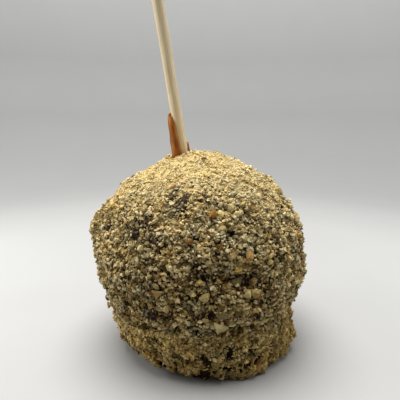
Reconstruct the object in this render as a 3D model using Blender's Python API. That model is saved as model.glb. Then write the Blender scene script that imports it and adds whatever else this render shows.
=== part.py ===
"""A caramel apple rolled in chopped peanuts, with its wooden stick and the film of set caramel
that climbs the base of the stick.

Metres, +Z up. The origin is the centre of the flat foot that the apple stands on, and the front
is towards -Y. Azimuths are in degrees from +X, so -90 is the front and 180 is the left."""

import math

import bmesh
import bpy
from mathutils import Matrix, Vector, noise

MM = 0.001

# Coated apple: the belly is an ellipse below its widest ring and a fuller curve above it
BELLY_RADIUS = 40.3 * MM
BELLY_HEIGHT = 38.0 * MM
CROWN_HEIGHT = 74.6 * MM
CROWN_POWER = 2.15              # 2 is an ellipse, more is a fuller shoulder
UNDERSIDE_REACH = 49.0 * MM     # half height of the lower ellipse, which the floor cuts off

# Foot: caramel that ran down and set as a thick band round the base
FOOT_RADIUS = 36.2 * MM
FOOT_SHIFT = Vector((1.3, -0.8, 0)) * MM
FOOT_TUCK = 1.0 * MM            # how far the wall draws in to the floor all round
FOOT_TUCK_SHARE = 0.8           # part of the band's height that draws in
HOLLOW_TUCK = 6.8 * MM          # further draw-in where the coat hangs clear of the floor
HOLLOW_AZIMUTH = -128
HOLLOW_SPREAD = 50              # degrees
FOOT_SHARES = (0, 0.05, 0.14, 0.28, 0.45, 0.62, 0.76, 0.86, 0.93, 0.975)

# Crease: the fold between the belly and the foot, higher and deeper at the front
CREASE_AZIMUTH = -92
CREASE_SPREAD = 62
CREASE_LOW = 13.5 * MM
CREASE_RISE = 7.0 * MM
CREASE_DEPTH = 0.35 * MM
CREASE_FRONT_DEPTH = 1.7 * MM
CREASE_WIDTH = 2.2 * MM
CREASE_WANDER = 1.3 * MM        # how far the fold strays up and down

# Swells of the coat: azimuth, height, reach and rise
SWELLS = (
    (-172, 52 * MM, 15 * MM, 2.1 * MM),     # full left shoulder
    (-166, 49 * MM, 4.5 * MM, 1.5 * MM),    # run of caramel that set as a ledge
    (-166, 42 * MM, 4.5 * MM, -0.8 * MM),   # step in under the ledge
    (-10, 27 * MM, 12 * MM, 0.9 * MM),      # full lower right side
    (-12, 53 * MM, 10 * MM, 0.7 * MM),      # right shoulder
    (-168, 22 * MM, 8.5 * MM, -2.4 * MM),   # lower left side draws in
    (-40, 30 * MM, 10 * MM, 0.8 * MM),
    (-105, 56 * MM, 13 * MM, 0.7 * MM),
    (55, 44 * MM, 16 * MM, 1.2 * MM),
    (118, 30 * MM, 13 * MM, -1.0 * MM),
    (150, 62 * MM, 10 * MM, 0.9 * MM),
)
CROWN_HEAP = Vector((3.0, 0.0, 74.0)) * MM  # nuts pile up beside the stick
CROWN_HEAP_REACH = 11.0 * MM
CROWN_HEAP_RISE = 1.3 * MM
LUMP_SPACING = 15.0 * MM
LUMP_RISE = 1.1 * MM
EDGE_LUMP_RISE = 0.8 * MM       # ragged lower edge of the foot
AROUND = 84
BELLY_ROWS = 27

# Stick: a plain round dowel that leans to the left and a little to the front
STICK_RADIUS = 2.1 * MM
STICK_LENGTH = 114.0 * MM
STICK_DEPTH = 50.0 * MM         # length inside the apple
STICK_CHAMFER = 0.35 * MM
STICK_SIDES = 28
STICK_ENTRY = Vector((-6.5, 2.0, 74.3)) * MM
LEAN_LEFT = math.radians(8.35)
LEAN_FRONT = math.radians(8.0)

# Film of set caramel that wraps the stick's left side, drawn up into a point
FILM_RADIUS = 3.6 * MM          # outer wall, a circle that is off the stick's axis
FILM_SHIFT = -0.65 * MM
FILM_BURIED = 1.6 * MM          # length below the crown
FILM_EDGE = (                   # azimuth and height above the crown of its top edge
    (8, 6.6 * MM),              # a sliver on the right
    (32, 2.4 * MM),
    (75, 3.4 * MM),
    (120, 7.5 * MM),
    (150, 11.5 * MM),
    (187, 17.4 * MM),           # the point
    (210, 16.0 * MM),
    (236, 14.0 * MM),
    (250, 10.5 * MM),
    (262, 1.2 * MM),
    (290, 0.4 * MM),
    (335, 0.4 * MM),
    (350, 2.6 * MM),
)
FILM_SIDES = 48
FILM_ROWS = 9
FILM_TAPER = 0.45               # share of the wall's thickness lost towards its top edge
FILM_EDGE_START = 0.8           # share of the height where the edge rounds over
FILM_EDGE_TAPER = 0.35

GAP = 0.3 * MM                  # clearance between touching pieces
CUT_MARGIN = 12.0 * MM          # length of a cutter past the surface it cuts


def clear_scene():
    for old in list(bpy.data.objects):
        bpy.data.objects.remove(old, do_unlink=True)


def make_material(name, colour, roughness):
    material = bpy.data.materials.new(name)
    material.use_nodes = True
    shader = material.node_tree.nodes["Principled BSDF"]
    shader.inputs["Base Color"].default_value = (*colour, 1)
    shader.inputs["Roughness"].default_value = roughness
    shader.inputs["Metallic"].default_value = 0
    return material


def make_object(name, mesh_builder, material):
    mesh = bpy.data.meshes.new(name)
    mesh_builder.to_mesh(mesh)
    mesh_builder.free()
    mesh.materials.append(material)
    piece = bpy.data.objects.new(name, mesh)
    bpy.context.collection.objects.link(piece)
    return piece


def shade_round(piece, sharp_angle):
    piece.data.shade_smooth()
    piece.data.set_sharp_from_angle(angle=sharp_angle)


def turned(azimuth):
    """The unit vector at an azimuth in degrees."""
    return Vector((math.cos(math.radians(azimuth)), math.sin(math.radians(azimuth)), 0))


def bump(azimuth, centre, spread):
    """1 at a centre azimuth, falling smoothly to 0 round the apple."""
    away = (azimuth - centre + 180) % 360 - 180
    return math.exp(-((away / spread) ** 2))


def bridge_rings(builder, rings):
    for lower, upper in zip(rings, rings[1:]):
        count = len(lower)
        for i in range(count):
            j = (i + 1) % count
            builder.faces.new((lower[i], lower[j], upper[j], upper[i]))


def close_with_fan(builder, ring, centre, facing_up):
    middle = builder.verts.new(centre)
    count = len(ring)
    for i in range(count):
        j = (i + 1) % count
        corners = (ring[i], ring[j], middle) if facing_up else (ring[j], ring[i], middle)
        builder.faces.new(corners)


# ---- Coated apple

def lumps(point, spacing):
    """Uneven rise of the coat at a point, from about -1 to 1."""
    return noise.fractal(point / spacing, 1.0, 2.0, 3)


def crease_height(azimuth):
    strays = CREASE_WANDER * lumps(turned(azimuth) * BELLY_RADIUS, LUMP_SPACING)
    return CREASE_LOW + strays + CREASE_RISE * bump(azimuth, CREASE_AZIMUTH, CREASE_SPREAD)


def crease_depth(azimuth):
    front = bump(azimuth, CREASE_AZIMUTH, CREASE_SPREAD)
    return CREASE_DEPTH + CREASE_FRONT_DEPTH * front


def belly_curve(azimuth, rise):
    """Point of the plain belly at an angle in radians above its widest ring."""
    reach = CROWN_HEIGHT - BELLY_HEIGHT if rise > 0 else UNDERSIDE_REACH
    power = CROWN_POWER if rise > 0 else 2
    radius = BELLY_RADIUS * max(math.cos(rise), 0) ** (2 / power)
    height = BELLY_HEIGHT + math.copysign(reach * abs(math.sin(rise)) ** (2 / power), rise)
    return turned(azimuth) * radius + Vector((0, 0, height))


def swell_at(point):
    """How far the swells and lumps push a point of the belly outwards."""
    push = LUMP_RISE * lumps(point, LUMP_SPACING)
    for azimuth, height, reach, rise in SWELLS:
        radius = math.hypot(point.x, point.y) if height > BELLY_HEIGHT else BELLY_RADIUS
        centre = turned(azimuth) * radius + Vector((0, 0, height))
        push += rise * math.exp(-((point - centre).length / reach) ** 2)
    push += CROWN_HEAP_RISE * math.exp(-((point - CROWN_HEAP).length / CROWN_HEAP_REACH) ** 2)
    return push


def belly_point(azimuth, rise):
    point = belly_curve(azimuth, rise)
    above_crease = (point.z - crease_height(azimuth)) / CREASE_WIDTH
    push = swell_at(point) - crease_depth(azimuth) * math.exp(-above_crease ** 2)
    outwards = (point - Vector((0, 0, BELLY_HEIGHT))).normalized()
    return point + outwards * push


def crease_rise(azimuth):
    """Angle of the belly's curve at the crease."""
    return -math.asin((BELLY_HEIGHT - crease_height(azimuth)) / UNDERSIDE_REACH)


def foot_point(azimuth, share):
    """Point of the foot's wall at a share of the crease's height."""
    crease = belly_point(azimuth, crease_rise(azimuth))
    height = crease.z * share
    along = FOOT_SHIFT.dot(turned(azimuth))
    across = math.sqrt(FOOT_SHIFT.length_squared - along ** 2)
    radius = along + math.sqrt(FOOT_RADIUS ** 2 - across ** 2)
    tuck = FOOT_TUCK + HOLLOW_TUCK * bump(azimuth, HOLLOW_AZIMUTH, HOLLOW_SPREAD)
    radius -= tuck * max(1 - share / FOOT_TUCK_SHARE, 0) ** 1.6
    ledge = max(share - 0.7, 0) / 0.3
    radius += (math.hypot(crease.x, crease.y) - radius) * ledge ** 3
    at_wall = turned(azimuth) * radius + Vector((0, 0, height))
    radius += LUMP_RISE * lumps(at_wall, LUMP_SPACING) * (1 - ledge ** 3)
    radius += EDGE_LUMP_RISE * lumps(at_wall, LUMP_SPACING / 3) * (1 - share)
    return turned(azimuth) * radius + Vector((0, 0, height))


def make_coated_apple():
    builder = bmesh.new()
    azimuths = [360 * i / AROUND for i in range(AROUND)]
    rings = []
    for share in FOOT_SHARES:
        rings.append([builder.verts.new(foot_point(azimuth, share)) for azimuth in azimuths])
    for row in range(BELLY_ROWS):
        ring = []
        for azimuth in azimuths:
            start = crease_rise(azimuth)
            rise = start + (math.pi / 2 - start) * row / BELLY_ROWS
            ring.append(builder.verts.new(belly_point(azimuth, rise)))
        rings.append(ring)
    bridge_rings(builder, rings)
    close_with_fan(builder, rings[0], Vector((0, 0, 0)), facing_up=False)
    close_with_fan(builder, rings[-1], belly_point(0, math.pi / 2), facing_up=True)
    apple = make_object("coated_apple", builder, chopped_nut_material())
    shade_round(apple, math.radians(60))
    return apple


# ---- Stick

def stick_frame():
    """The stick's own axes: origin where it enters the crown, local +Z along the stick."""
    along = Vector((-math.tan(LEAN_LEFT), -math.tan(LEAN_FRONT), 1)).normalized()
    side = Vector((1, 0, 0))
    side = (side - along * side.dot(along)).normalized()
    back = along.cross(side)
    frame = Matrix((side, back, along)).transposed().to_4x4()
    frame.translation = STICK_ENTRY
    return frame


def make_stick():
    builder = bmesh.new()
    middle = Matrix.Translation((0, 0, STICK_LENGTH / 2 - STICK_DEPTH))
    bmesh.ops.create_cone(
        builder, cap_ends=True, segments=STICK_SIDES, radius1=STICK_RADIUS,
        radius2=STICK_RADIUS, depth=STICK_LENGTH, matrix=middle,
    )
    rims = [edge for edge in builder.edges if any(len(face.verts) > 4 for face in edge.link_faces)]
    bmesh.ops.bevel(builder, geom=rims, offset=STICK_CHAMFER, segments=2, affect="EDGES")
    builder.transform(stick_frame())
    stick = make_object("stick", builder, wood_material())
    shade_round(stick, math.radians(35))
    return stick


# ---- Film of set caramel

def film_wall_radius(azimuth):
    """Distance from the stick's axis to the film's outer wall."""
    away = math.radians(azimuth)
    along = FILM_SHIFT * math.cos(away)
    across = FILM_SHIFT * math.sin(away)
    return along + math.sqrt(FILM_RADIUS ** 2 - across ** 2)


def film_height(azimuth):
    """Height of the film's top edge, eased from each stated azimuth to the next."""
    first = FILM_EDGE[0]
    stops = FILM_EDGE + ((first[0] + 360, first[1]),)
    turn = (azimuth - first[0]) % 360 + first[0]
    for (start, low), (end, high) in zip(stops, stops[1:]):
        if turn <= end:
            share = (turn - start) / (end - start)
            return low + (high - low) * share * share * (3 - 2 * share)
    return first[1]


def film_ring(builder, radius_at, height_at):
    ring = []
    for i in range(FILM_SIDES):
        azimuth = 360 * i / FILM_SIDES
        point = turned(azimuth) * radius_at(azimuth) + Vector((0, 0, height_at(azimuth)))
        ring.append(builder.verts.new(point))
    return ring


def make_caramel_film():
    builder = bmesh.new()
    bore = STICK_RADIUS + GAP
    rings = []
    for row in range(FILM_ROWS + 1):
        share = row / FILM_ROWS
        rounding = max(share - FILM_EDGE_START, 0) / (1 - FILM_EDGE_START)
        kept = 1 - FILM_TAPER * share ** 2 - FILM_EDGE_TAPER * rounding ** 2

        def outer_radius(azimuth):
            return bore + (film_wall_radius(azimuth) - bore) * kept

        def height(azimuth):
            return -FILM_BURIED + (film_height(azimuth) + FILM_BURIED) * share

        rings.append(film_ring(builder, outer_radius, height))
    for share in (0.98, 0.5, 0):
        def bore_height(azimuth):
            return -FILM_BURIED + (film_height(azimuth) + FILM_BURIED) * share

        rings.append(film_ring(builder, lambda azimuth: bore, bore_height))
    bridge_rings(builder, rings + rings[:1])
    builder.transform(stick_frame())
    film = make_object("caramel_film", builder, caramel_material())
    shade_round(film, math.radians(50))
    return film


# ---- Socket in the apple

def make_cutter(name, radius, shift, low, high):
    """A closed cylinder along the stick's axis that cuts the apple."""
    builder = bmesh.new()
    middle = Matrix.Translation((shift, 0, (low + high) / 2))
    bmesh.ops.create_cone(
        builder, cap_ends=True, segments=STICK_SIDES, radius1=radius, radius2=radius,
        depth=high - low, matrix=middle,
    )
    builder.transform(stick_frame())
    cutter = make_object(name, builder, caramel_material())
    cutter.display_type = "WIRE"
    cutter.hide_render = True
    return cutter


def cut_socket(apple):
    """The socket that the stick and the buried end of the film stand in."""
    bore = make_cutter("stick_bore", STICK_RADIUS + GAP, 0, -STICK_DEPTH - GAP, CUT_MARGIN)
    recess = make_cutter("film_recess", FILM_RADIUS + GAP, FILM_SHIFT, -FILM_BURIED - GAP,
                         CUT_MARGIN)
    for cutter in (bore, recess):
        cut = apple.modifiers.new(cutter.name, "BOOLEAN")
        cut.operation = "DIFFERENCE"
        cut.solver = "EXACT"
        cut.object = cutter


# ---- Materials

def chopped_nut_material():
    return make_material("chopped_nut_coat", (0.42, 0.30, 0.13), 0.75)


def wood_material():
    return make_material("stick_wood", (0.60, 0.47, 0.28), 0.62)


def caramel_material():
    return make_material("set_caramel", (0.20, 0.07, 0.01), 0.18)


def main():
    clear_scene()
    apple = make_coated_apple()
    make_stick()
    make_caramel_film()
    cut_socket(apple)


main()
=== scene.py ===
import math
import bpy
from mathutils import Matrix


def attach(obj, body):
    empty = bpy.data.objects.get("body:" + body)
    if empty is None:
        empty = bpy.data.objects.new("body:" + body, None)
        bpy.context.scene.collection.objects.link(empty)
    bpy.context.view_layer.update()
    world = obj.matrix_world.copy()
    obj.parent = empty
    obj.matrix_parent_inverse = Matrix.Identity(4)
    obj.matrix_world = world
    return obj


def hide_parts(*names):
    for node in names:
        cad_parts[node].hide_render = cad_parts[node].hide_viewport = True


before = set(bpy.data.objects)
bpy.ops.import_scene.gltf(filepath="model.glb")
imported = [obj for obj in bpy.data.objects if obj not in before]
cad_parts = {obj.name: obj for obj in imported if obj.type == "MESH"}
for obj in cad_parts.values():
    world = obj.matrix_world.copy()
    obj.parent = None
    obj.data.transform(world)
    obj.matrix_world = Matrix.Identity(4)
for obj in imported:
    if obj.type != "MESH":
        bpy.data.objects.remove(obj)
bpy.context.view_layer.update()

from types import SimpleNamespace

import bmesh
import bpy
import numpy as np
from mathutils import Matrix, Vector, noise
from mathutils.bvhtree import BVHTree

mm = 0.001


def turned(azimuth):
    return Vector((math.cos(math.radians(azimuth)), math.sin(math.radians(azimuth)), 0))


def awayFrom(azimuths, centre):
    # degrees from a bearing, from -180 to 180
    return (azimuths - centre + 180) % 360 - 180


def hump(values, width):
    # 1 at zero, falling smoothly to 0 on both sides
    return np.exp(-(values / width) ** 2)


def eased(values, low, high):
    # rises smoothly from 0 to 1 between low and high
    share = np.clip((values - low) / (high - low), 0, 1)
    return share * share * (3 - 2 * share)


def pointsOf(mesh, what="co"):
    found = np.empty(len(mesh.vertices) * 3)
    mesh.vertices.foreach_get(what, found)
    return found.reshape(-1, 3)


def putPoints(mesh, points):
    mesh.vertices.foreach_set("co", points.astype(np.float32).ravel())
    mesh.update()


def storeFloat(mesh, name, values):
    layer = mesh.attributes.new(name, "FLOAT", "POINT")
    layer.data.foreach_set("value", np.asarray(values, np.float32))


def addObject(name, data):
    made = bpy.data.objects.new(name, data)
    bpy.context.scene.collection.objects.link(made)
    return made


def bakeModifiers(piece):
    # the evaluated result becomes the piece's own plain mesh
    depsgraph = bpy.context.evaluated_depsgraph_get()
    result = bpy.data.meshes.new_from_object(piece.evaluated_get(depsgraph))
    old = piece.data
    piece.modifiers.clear()
    piece.data = result
    bpy.data.meshes.remove(old)
    result.name = piece.name


def fuse(piece, voxel):
    # one closed surface of even faces round all that the piece holds
    remesh = piece.modifiers.new("fused", "REMESH")
    remesh.mode = "VOXEL"
    remesh.voxel_size = voxel
    bakeModifiers(piece)
    return piece.data, pointsOf(piece.data), pointsOf(piece.data, "normal")


def mergedCopy(node):
    # a CAD node's triangles are loose, so the copy's doubles are merged
    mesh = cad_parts[node].data.copy()
    builder = bmesh.new()
    builder.from_mesh(mesh)
    bmesh.ops.remove_doubles(builder, verts=builder.verts, dist=0.002 * mm)
    builder.to_mesh(mesh)
    builder.free()
    mesh.materials.clear()
    return mesh


def meshFrom(builder, name, crisp=None):
    # crisp: edges that turn by more degrees than this stay sharp
    mesh = bpy.data.meshes.new(name)
    builder.to_mesh(mesh)
    builder.free()
    mesh.shade_smooth()
    if crisp:
        mesh.set_sharp_from_angle(angle=math.radians(crisp))
    return mesh


def joinRings(builder, rings):
    for lower, upper in zip(rings, rings[1:]):
        for i in range(len(lower)):
            j = (i + 1) % len(lower)
            builder.faces.new((lower[i], lower[j], upper[j], upper[i]))


def plainBall(subdivisions):
    # the points and triangles of a ball of radius 1
    builder = bmesh.new()
    bmesh.ops.create_icosphere(builder, subdivisions=subdivisions, radius=1)
    points = np.array([v.co for v in builder.verts])
    faces = np.array([[v.index for v in face.verts] for face in builder.faces])
    builder.free()
    return points, faces


def fieldNoise(points, scale, shift):
    return np.array([noise.noise(Vector(p) / scale + Vector((shift, 0, 0))) for p in points])


def finishPiece(piece, material=None):
    if material:
        piece.data.materials.clear()
        piece.data.materials.append(material)
    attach(piece, "root")
    print("  ", piece.name, len(piece.data.polygons), "faces")


class NodeTree:
    # short calls for laying out nodes
    def fill(self, socket, value):
        # a node's output is linked, and a plain value is set on the socket itself
        if isinstance(value, bpy.types.NodeSocket):
            self.tree.links.new(value, socket)
        else:
            socket.default_value = value

    def node(self, kind, values=None, **settings):
        made = self.tree.nodes.new(kind)
        for key, value in settings.items():
            setattr(made, key, value)
        for key, value in (values or {}).items():
            self.fill(made.inputs[key], value)
        return made

    def math(self, operation, a, b=0.0, c=0.0):
        return self.node("ShaderNodeMath", {0: a, 1: b, 2: c}, operation=operation).outputs[0]


class ShaderTree(NodeTree):
    def __init__(self, name, group=None):
        if group:
            self.tree = group
            return
        self.material = bpy.data.materials.new(name)
        self.material.use_nodes = True
        self.tree = self.material.node_tree
        self.shader = self.tree.nodes["Principled BSDF"]

    def set(self, name, value):
        self.fill(self.shader.inputs[name], value)

    def attribute(self, name, output="Fac"):
        return self.node("ShaderNodeAttribute", attribute_name=name).outputs[output]

    def position(self):
        return self.node("ShaderNodeTexCoord").outputs["Object"]

    def stretched(self, vector, scale):
        return self.node("ShaderNodeMapping", {"Vector": vector, "Scale": scale}).outputs[0]

    def noise(self, scale, detail, vector=None, roughness=0.5):
        return self.node("ShaderNodeTexNoise", {
            "Scale": scale, "Detail": detail, "Roughness": roughness,
            "Vector": self.position() if vector is None else vector}).outputs["Fac"]

    def ramp(self, factor, stops):
        made = self.node("ShaderNodeValToRGB", {"Fac": factor})
        elements = made.color_ramp.elements
        while len(elements) < len(stops):
            elements.new(0.5)
        for element, (place, colour) in zip(elements, stops):
            element.position = place
            element.color = (*colour, 1)
        return made.outputs["Color"]

    def mix(self, factor, a, b, blend="MIX"):
        values = {0: factor, 6: a, 7: b}
        return self.node("ShaderNodeMix", values, data_type="RGBA", blend_type=blend).outputs[2]

    def mapRange(self, value, low, high, toLow, toHigh):
        return self.node("ShaderNodeMapRange", {
            "Value": value, "From Min": low, "From Max": high,
            "To Min": toLow, "To Max": toHigh}).outputs["Result"]

    def nutLook(self, colour, speckle):
        values = {"Color": colour, "Speckle": speckle}
        made = self.node("ShaderNodeGroup", values, node_tree=nutLookGroup)
        return made.outputs["Color"], made.outputs["Grain"]

    def bump(self, height, strength, distance):
        values = {"Strength": strength, "Distance": distance, "Height": height}
        self.set("Normal", self.node("ShaderNodeBump", values).outputs["Normal"])


# the dark caramel coat under the nuts
coat = {
    "voxel": 0.6 * mm,
    "inset": 1.2 * mm,          # the nuts stand this much proud of the caramel
    "crownInset": 0.3,          # the share by which that is less on the crown
    "shoulder": 0.9 * mm,       # drawn in at the sides above the widest part
    "heave": 0.9 * mm,
    "heaveSize": 9.0 * mm,
    "lump": 1.3 * mm,
    "lumpSize": 4.0 * mm,
    "ripple": 0.7 * mm,
    "rippleSize": 2.2 * mm,
    "socketClear": 2.45 * mm,
    "stickClear": 2.7 * mm,     # no nut's centre is nearer than this to the stick's axis
    "floorClear": 0.5 * mm,
    "levelBelow": 1.2 * mm,     # under this height the wall moves level
    "rimRadius": 35 * mm,       # and the underside keeps still towards its middle
    "dark": (0.016, 0.008, 0.003),
    "light": (0.066, 0.034, 0.011),
    "dust": (0.50, 0.38, 0.17),     # nut dust stuck between the grains
    "paleAndLitDust": (0.66, 0.50, 0.21),     # on the crown, partly painted light, and as painted light on the fold's lip and the far left
    "mottleScale": 420,
    "dustScale": 1500,
    "dustLevel": (-0.25, 0.2),  # from where there is no dust to where it is thickest
    "bumpScale": 1400,
    "speckle": 0.3,             # the dust is a little more speckled than the nuts
    "roughness": 0.6,
    "specular": 0.06,
}

# the coat's zones: a bearing and how far it spreads, in degrees
zoneBearings = {
    "front": (-92, 42),
    "right": (-20, 50),
    "farLeft": (176, 26),       # the most closely covered, and painted paler where light wraps round the side
    "nearSide": (-105, 72),
    "clearFold": (-128, 38),    # where the fold is a clear line
}
# the heights in mm between which a zone fades in; the base and the skirt fade out instead
zoneHeights = {
    "base": (1, 6),
    "skirt": (6, 13),
    "upper": (42, 54),
    "shoulder": (46, 56),
    "neck": (70, 76),
    "top": (65, 74),
}
# the lower front, which shows the most caramel: bearing, spread, height and reach
lowFront = (-82, 42, 33, 13)

# what the zones add to the nuts' cover and tint, or take from them. In the tints of dust, crown and
# paleness, the lip, upper and farLeft terms are painted light, the crown and top terms partly so,
# and the gap, base and skirt terms painted shade
nutCover = SimpleNamespace(
    coarse=SimpleNamespace(even=0.8, drift=0.65, foot=0.4, crown=0.6, farLeft=0.3, lip=0.5),
    fine=SimpleNamespace(bareAndShaded=0.8, even=0.55, drift=0.5, foot=0.7, lowFront=0.25, crown=0.4,
                         top=0.3, farLeft=0.4, lip=0.5, base=0.6),
    stained=SimpleNamespace(even=0.28, bareAndShaded=0.75, drift=0.5, lowFront=0.3, foot=0.7, hollow=0.3,
                            farLeft=0.5, lip=0.8),
    dustedLessShade=SimpleNamespace(even=0.75, drift=0.9, lowFront=0.6, crown=0.3, top=0.4, foot=0.3,
                           farLeft=0.5, lip=0.8, gap=1.5, base=0.7),
    crowned=SimpleNamespace(crown=0.75, top=0.25, lip=0.9, farLeft=0.4),
    pale=SimpleNamespace(crown=0.5, top=0.5, lip=1.2, foot=0.55, skirt=0.6, upper=0.55,
                         farLeft=0.2),
)

# the fold between the belly and the foot, placed as on the CAD apple
crease = {
    "azimuth": -92,
    "spread": 62,
    "low": 13.5 * mm,
    "rise": 7.0 * mm,
    "wander": 1.3 * mm,
    "wanderSize": 15 * mm,
    "ringRadius": 40.3 * mm,
    "drop": 0.9 * mm,           # the nuts hang over the fold at the front
    "footEdge": (-1.2, 0.4),    # heights over the fold in mm, between which the foot ends
    "groove": 1.6 * mm,
    "lip": 1.4 * mm,
    "shadow": 0.5,              # how far the nuts thin out in the groove
    "grooveBand": (1.2, 0.9),   # bands along the fold: height over it and reach in mm
    "lipBand": (-0.7, 0.9),
    "shadowBand": (1.3, 0.8),
    # painted highlight: the band along the fold's lip that is painted paler, as it catches the
    # overhead light
    "litLipBand": (-0.6, 1.0),
}

# runs of caramel that hang round the foot, thin on the left and thick on the right
drips = {
    "count": 104,
    "thin": 0.6 * mm,
    "thick": 1.5 * mm,
    "top": (7.0 * mm, 11.5 * mm),
    "bottom": (0.4 * mm, 3.4 * mm),
    "placedFrom": -138,         # azimuths between which the runs are placed one by one
    "placedTo": -46,
    "lean": 12,                 # they lean towards the front by a degree for each of these
    "slant": (-1.2, 1.2),       # and the chance runs by so many degrees
    "vary": (0.75, 1.25),       # how thick a chance run is for its place
    "topShare": 0.55,           # the radius at a run's top, as a share of its full one
    "beads": 0.1,               # how much it swells and narrows on its way
    "beadTurn": 1.7,
    "step": 0.45 * mm,
    "proud": 1.2 * mm,          # how far a run's face stands out of the coat
    "hang": 0.8,                # the most that a run follows the wall inwards for each unit of fall
    "voxel": 0.4 * mm,
    "lump": 0.35 * mm,
    "lumpSize": 1.3 * mm,
    "wallWidth": 2.4 * mm,      # hollows in the coat behind them
    "wallDepth": 1.7 * mm,
    "undercut": 2.2 * mm,       # the coat draws in again where it meets the floor
    "undercutHeight": 4.0 * mm,
    "seed": 5,
}

# azimuth, top, bottom and radius in mm
placedRuns = (
    (-136, 14.5, 7, 0.6), (-133, 14, 5.5, 0.65), (-130, 13.5, 4, 0.6), (-127, 12.5, 3, 0.7),
    (-128, 6, 0.4, 0.9), (-123.5, 12, 2.4, 0.6), (-121, 9, 2, 0.7), (-118.5, 11.5, 1.6, 0.7),
    (-114.5, 11, 4.6, 0.6), (-109.4, 10, 0.6, 0.85), (-106.5, 9.5, 4.6, 0.6), (-102, 9, 0.8, 0.9),
    (-98.6, 9.5, 0.5, 0.8), (-95.4, 8, 0.3, 1.1), (-92, 6, 1.2, 0.9), (-80, 12, 6, 1.5),
    (-78, 5.5, 0.2, 1.1), (-71.5, 3.8, 0.6, 1.0), (-68, 4, 0.5, 1.1), (-64.4, 4.2, 0.5, 1.0),
    (-59.5, 4.8, 0.8, 1.0), (-57.4, 10, 3.6, 0.7), (-53, 8, 0.6, 1.1), (-49, 9, 1.0, 1.2),
)

# hollows and lumps round the foot: azimuth, height, width, tallness and rise in mm
footForms = (
    (-113.6, 2.6, 2.2, 2.4, -3.4), (-105.2, 2.2, 2.0, 2.2, -3.2), (-123.5, 1.6, 1.6, 1.8, -2.0),
    (-89, 9.8, 2.4, 1.5, -2.0), (-84.6, 7.8, 2.2, 1.7, -2.2), (-97.4, 8.8, 1.0, 1.5, -1.2),
    (-74.4, 11.6, 1.2, 3.0, -3.0), (-69, 14.8, 1.3, 1.1, -2.0), (-61, 11.0, 1.4, 1.0, -2.4),
    (-55.3, 6.6, 1.1, 1.8, -2.8), (-63.5, 6.0, 2.6, 1.2, -2.4), (-86, 3.2, 2.8, 1.8, -2.6),
    (-74.4, 4.6, 1.4, 1.4, -2.0), (-43, 9.6, 2.4, 2.6, -0.9), (-115.7, 14.3, 1.5, 1.5, -0.9),
    (-103.6, 11.3, 1.5, 1.5, -0.9), (-46, 4.6, 1.0, 1.4, -1.4), (-38, 5.8, 0.9, 1.4, -1.4),
    (-93, 14.7, 6.5, 2.6, 0.7), (-80, 9.8, 1.7, 2.2, 1.0), (-58, 13.8, 1.6, 1.6, 0.9),
    (-66.8, 3.0, 3.0, 1.3, 0.9), (-53, 3.2, 2.4, 1.8, 1.2), (-36, 4.0, 8.0, 3.6, 1.3),
    (-18, 6.0, 8.0, 4.5, 1.2),
)
footChance = {
    "count": 44,
    "seed": 21,
    "azimuths": (-20, 215),
    "heights": (3, 13),
    "sizes": (0.9, 2.2),
    "hollows": (1.0, 2.2),      # three in five go in by this much
    "lumps": (0.6, 1.2),
}

# local swells: azimuth, and height, reach and rise in mm
swells = (
    (-170, 47, 6, 0.9), (-168, 40.5, 3, -0.6), (-163, 58, 3.5, 0.6), (-69, 38.5, 3.2, -0.9),
    (-109, 64.8, 2.4, -0.5), (-164, 30.5, 4, -0.9), (-12, 19, 3, -0.6), (-22, 10.5, 3.2, -1.3),
    (-148, 23, 3.2, -1.2), (-20, 56, 4, 0.5), (-14, 47, 3, -0.4),
)

# places where few nuts stuck: azimuth, height and reach in mm, and how bare. The lowest ones are in
# the hollows of the foot; they and the one above the flake at -78 are painted shade, bare dark
# caramel where shadow falls
bareAndShadedPatches = (
    (-120.5, 57, 3.4, 1.0), (-125, 53.5, 2.8, 0.95), (-109, 65.5, 2.3, 1.0), (-100, 64.5, 2.2, 0.9),
    (-86, 65, 1.9, 0.95), (-104, 60.5, 2, 0.45), (-113, 52.2, 2.6, 0.9), (-137, 55.5, 2.3, 0.95),
    (-134, 50.5, 1.8, 0.6), (-115, 26.4, 3.2, 1.0), (-105, 25.8, 2.3, 0.95), (-66, 38.5, 2.6, 0.95),
    (-73, 39, 1.9, 0.95), (-84, 33.5, 2.4, 0.85), (-84, 28.8, 1.8, 1.0), (-58, 31.5, 3, 0.6),
    (-78, 27.2, 1.5, 0.95), (-34, 41.5, 2.6, 0.5), (-113.6, 2.4, 1.9, 1.0), (-105.2, 2, 1.7, 1.0),
    (-123.5, 1.6, 1.3, 0.9), (-86, 3.2, 2.2, 0.85), (-74.4, 11, 1.3, 0.9), (-55.3, 6.6, 1.2, 0.9),
    (-43, 9.6, 2.2, 0.6), (-22, 40, 4, 0.55), (-8, 48, 4, 0.75), (-2, 39, 3, 0.7),
    (35, 44, 3.4, 0.7), (62, 55, 3, 0.8), (75, 36, 3.6, 0.7), (104, 47, 3, 0.8),
    (128, 31, 3.6, 0.7), (150, 56, 3, 0.7), (168, 38, 2.6, 0.8),
)


def stickLine():
    # the stick's axis, read from the CAD stick's two end faces
    points = pointsOf(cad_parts["stick"].data)
    middle = points.mean(0)
    axis = np.linalg.svd(points - middle, full_matrices=False)[2][0]
    axis *= np.sign(axis[2])
    along = (points - middle) @ axis
    return Vector(middle), Vector(axis), float(along.min()), float(along.max())


stickMiddle, stickAxis, stickLow, stickHigh = stickLine()


def awayFromStick(points):
    offset = points - np.array(stickMiddle)
    along = offset @ np.array(stickAxis)
    return np.linalg.norm(offset - along[:, None] * np.array(stickAxis), axis=1)


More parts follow.
